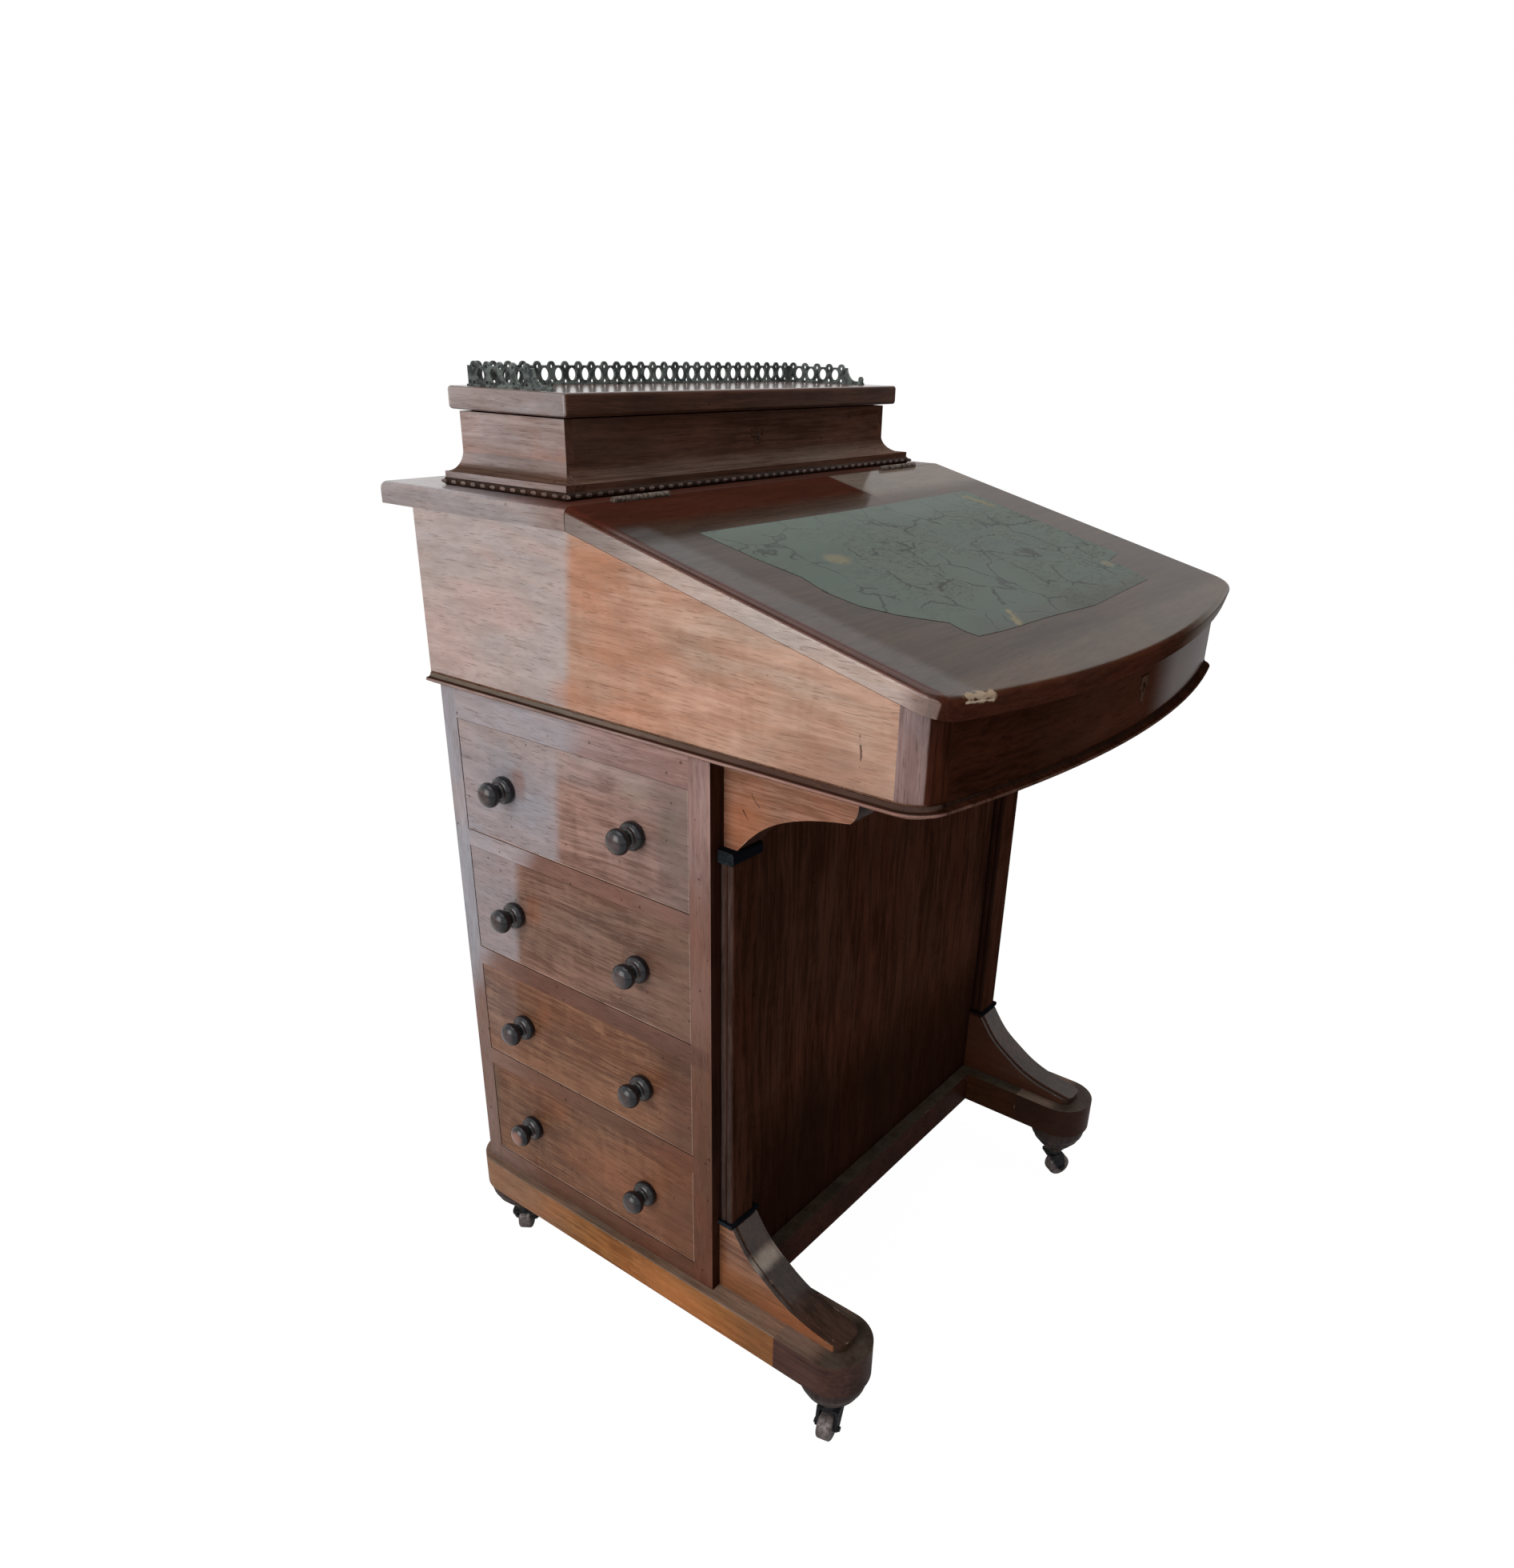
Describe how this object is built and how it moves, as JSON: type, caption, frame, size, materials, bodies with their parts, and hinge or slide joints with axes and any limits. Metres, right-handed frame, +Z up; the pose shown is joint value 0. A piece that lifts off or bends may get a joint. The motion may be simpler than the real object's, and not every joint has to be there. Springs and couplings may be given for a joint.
{
  "type": "davenport desk",
  "caption": "Davenport writing desk: sloping leather-topped lid over a box, hinged stationery box with pierced gallery, side drawers, scroll feet on pads and casters.",
  "frame": {"origin": "on the floor under the middle of the desk", "axes": "+Z up, +X to the sitter's right, -Y towards the sitter; the drawers pull out towards -X"},
  "size_m": [0.573, 0.589, 0.895],
  "materials": {
    "case_wood": "worn polish",
    "lid_wood": "glossy polish",
    "rail_wood": "worn polish",
    "ebonised_wood": "ebonised, polished",
    "inner_wood": "unpolished",
    "bead_wood": "carved, worn",
    "writing_leather": "worn and cracked",
    "gallery_brass": "tarnished",
    "dull_brass": "dull",
    "lock_steel": "dull",
    "caster_iron": "dark",
    "caster_wheel": "worn"
  },
  "bodies": {
    "desk": {"base_rails": "rail_wood", "bead_strips": "bead_wood", "box_back": "case_wood", "box_bottom": "inner_wood", "box_corner_blocks": "case_wood", "box_front": "case_wood", "box_sides": "case_wood", "caster_sockets": "dull_brass", "drawer_frame": "case_wood", "drawer_runners": "inner_wood", "dummy_fronts": "case_wood", "dummy_knobs": "ebonised_wood", "fixed_hinge_leaves": "dull_brass", "foot_pads": "rail_wood", "foot_scrolls": "rail_wood", "keyhole_escutcheons": "dull_brass", "knee_brackets": "case_wood", "kneehole_panel": "inner_wood", "lock_cases": "dull_brass", "pedestal_back": "inner_wood", "pedestal_bottom": "inner_wood", "pilaster_caps": "ebonised_wood", "pilasters": "case_wood", "right_panel": "case_wood", "stationery_skirt": "case_wood", "stationery_walls": "case_wood", "toe_blocks": "ebonised_wood", "top_board": "lid_wood", "waist_moulding": "case_wood"},
    "slope_lid_body": {"slope_lid": "lid_wood", "writing_leather": "writing_leather", "slope_link_plate": "lock_steel", "slope_hinge_leaves": "dull_brass"},
    "stationery_lid_body": {"stationery_lid": "lid_wood", "gallery": "gallery_brass", "stationery_link_plate": "lock_steel", "stationery_hinge_leaves": "dull_brass"},
    "slope_bolt": {"slope_lock_bolt": "lock_steel"},
    "stationery_bolt": {"stationery_lock_bolt": "lock_steel"},
    "drawer_1": {"drawer_1_front": "case_wood", "drawer_1_box": "inner_wood", "drawer_1_knobs": "ebonised_wood"},
    "drawer_2": {"drawer_2_front": "case_wood", "drawer_2_box": "inner_wood", "drawer_2_knobs": "ebonised_wood"},
    "drawer_3": {"drawer_3_front": "case_wood", "drawer_3_box": "inner_wood", "drawer_3_knobs": "ebonised_wood"},
    "drawer_4": {"drawer_4_front": "case_wood", "drawer_4_box": "inner_wood", "drawer_4_knobs": "ebonised_wood"},
    "swivel_front_left": {"caster_fork_front_left": "caster_iron"},
    "wheel_front_left": {"caster_wheel_front_left": "caster_wheel"},
    "swivel_front_right": {"caster_fork_front_right": "caster_iron"},
    "wheel_front_right": {"caster_wheel_front_right": "caster_wheel"},
    "swivel_rear_left": {"caster_fork_rear_left": "caster_iron"},
    "wheel_rear_left": {"caster_wheel_rear_left": "caster_wheel"},
    "swivel_rear_right": {"caster_fork_rear_right": "caster_iron"},
    "wheel_rear_right": {"caster_wheel_rear_right": "caster_wheel"}
  },
  "joints": [
    {"name": "slope_lid_hinge", "type": "hinge", "parent": "desk", "child": "slope_lid_body", "pos_m": [0, 0.0668, 0.8027], "axis": [-1, 0, 0], "range_deg": [0, 120]},
    {"name": "stationery_lid_hinge", "type": "hinge", "parent": "desk", "child": "stationery_lid_body", "pos_m": [0, 0.2392, 0.8556], "axis": [-1, 0, 0], "range_deg": [0, 100]},
    {"name": "slope_bolt_slide", "type": "slide", "parent": "desk", "child": "slope_bolt", "axis": [1, 0, 0], "range_m": [0, 0.0055]},
    {"name": "stationery_bolt_slide", "type": "slide", "parent": "desk", "child": "stationery_bolt", "axis": [1, 0, 0], "range_m": [0, 0.0055]},
    {"name": "drawer_1_slide", "type": "slide", "parent": "desk", "child": "drawer_1", "axis": [-1, 0, 0], "range_m": [0, 0.39]},
    {"name": "drawer_2_slide", "type": "slide", "parent": "desk", "child": "drawer_2", "axis": [-1, 0, 0], "range_m": [0, 0.39]},
    {"name": "drawer_3_slide", "type": "slide", "parent": "desk", "child": "drawer_3", "axis": [-1, 0, 0], "range_m": [0, 0.39]},
    {"name": "drawer_4_slide", "type": "slide", "parent": "desk", "child": "drawer_4", "axis": [-1, 0, 0], "range_m": [0, 0.39]},
    {"name": "swivel_front_left_turn", "type": "hinge", "parent": "desk", "child": "swivel_front_left", "pos_m": [-0.2343, -0.1877, 0.08], "axis": [0, 0, 1], "continuous": true},
    {"name": "wheel_front_left_roll", "type": "hinge", "parent": "swivel_front_left", "child": "wheel_front_left", "pos_m": [-0.24161, -0.18939, 0.0135], "axis": [0.225, -0.9744, 0], "continuous": true},
    {"name": "swivel_front_right_turn", "type": "hinge", "parent": "desk", "child": "swivel_front_right", "pos_m": [0.2343, -0.1877, 0.08], "axis": [0, 0, 1], "continuous": true},
    {"name": "wheel_front_right_roll", "type": "hinge", "parent": "swivel_front_right", "child": "wheel_front_right", "pos_m": [0.24059, -0.19179, 0.0135], "axis": [0.5446, 0.8387, 0], "continuous": true},
    {"name": "swivel_rear_left_turn", "type": "hinge", "parent": "desk", "child": "swivel_rear_left", "pos_m": [-0.2343, 0.2344, 0.08], "axis": [0, 0, 1], "continuous": true},
    {"name": "wheel_rear_left_roll", "type": "hinge", "parent": "swivel_rear_left", "child": "wheel_rear_left", "pos_m": [-0.22816, 0.2387, 0.0135], "axis": [-0.5736, 0.8192, 0], "continuous": true},
    {"name": "swivel_rear_right_turn", "type": "hinge", "parent": "desk", "child": "swivel_rear_right", "pos_m": [0.2343, 0.2344, 0.08], "axis": [0, 0, 1], "continuous": true},
    {"name": "wheel_rear_right_roll", "type": "hinge", "parent": "swivel_rear_right", "child": "wheel_rear_right", "pos_m": [0.22856, 0.23922, 0.0135], "axis": [-0.6428, -0.766, 0], "continuous": true}
  ]
}
